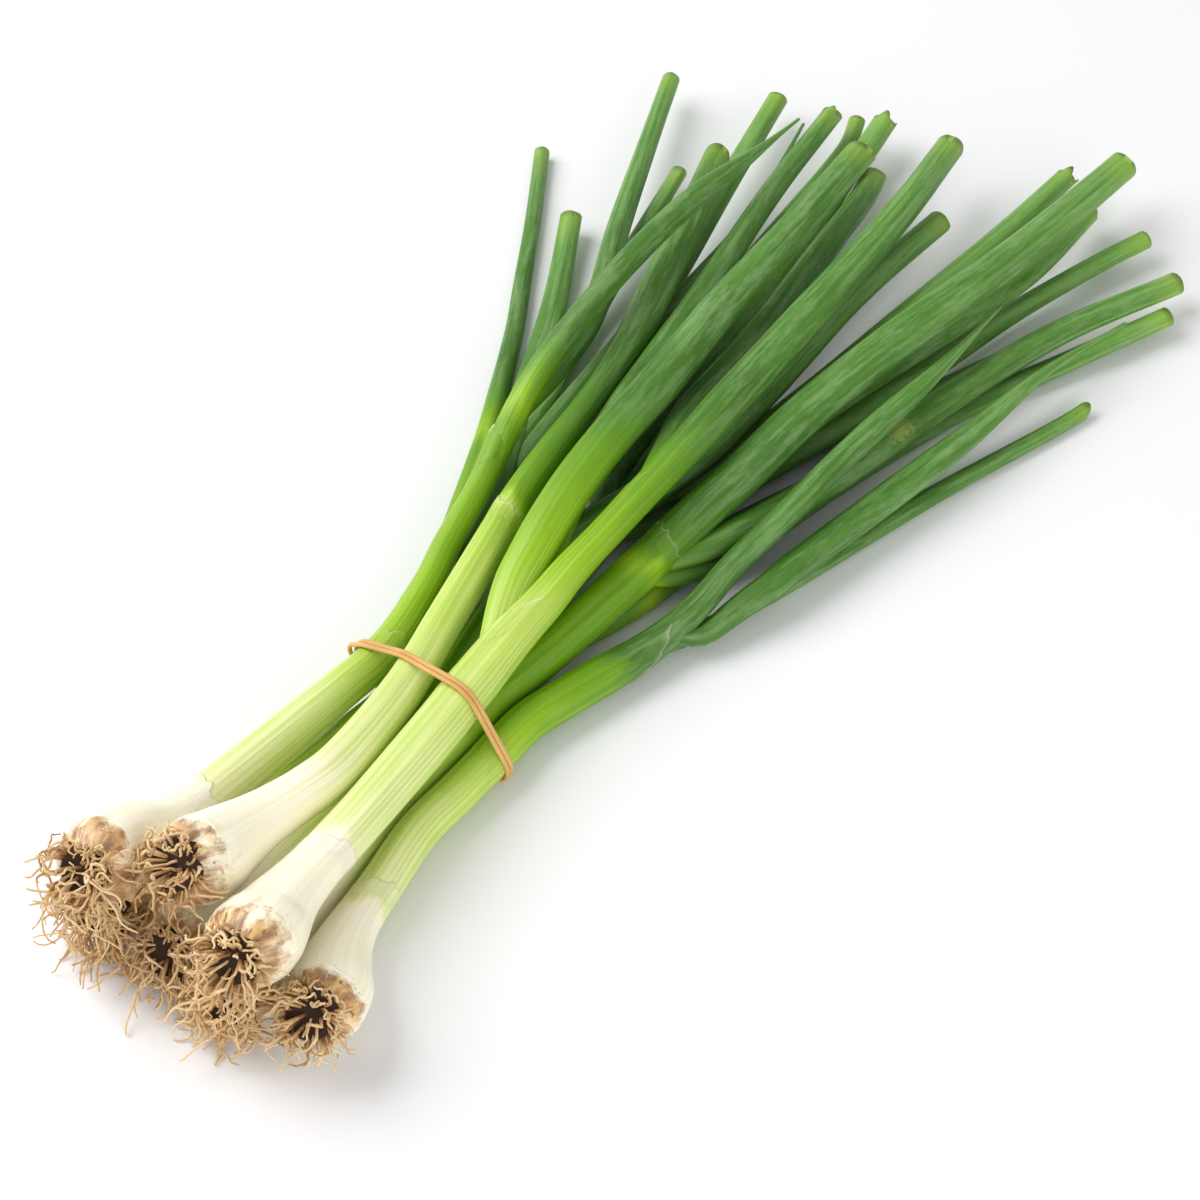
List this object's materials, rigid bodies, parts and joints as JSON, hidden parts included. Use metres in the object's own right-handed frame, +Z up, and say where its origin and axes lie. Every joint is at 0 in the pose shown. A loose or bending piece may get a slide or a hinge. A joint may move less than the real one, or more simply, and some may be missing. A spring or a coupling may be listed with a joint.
{
  "type": "spring onion bunch",
  "caption": "Bunch of spring onions lying on its side, white bulbs with root tufts at one end, green hollow leaves at the other, held by a rubber band.",
  "frame": {"origin": "middle of the bunch's box, on the surface that it lies on", "axes": "+X along the bunch from the roots to the leaf tips, +Y to the bunch's left seen from the roots, +Z up"},
  "size_m": [0.4307, 0.207, 0.0546],
  "materials": {
    "onion": "smooth waxy plant skin, glossy white at the bulb, yellow-green on the stem, blue-green on the leaves",
    "root": "dry matt root fibre, tan with dark brown between the roots",
    "band": "smooth tan rubber with a soft sheen"
  },
  "bodies": {
    "root": {"onion_1": "onion", "onion_2": "onion", "onion_3": "onion", "onion_4": "onion", "onion_5": "onion", "onion_6": "onion", "onion_7": "onion", "roots_1": "root", "roots_2": "root", "roots_3": "root", "roots_4": "root", "roots_5": "root", "roots_6": "root", "roots_7": "root", "rubber_band": "band"}
  },
  "joints": []
}
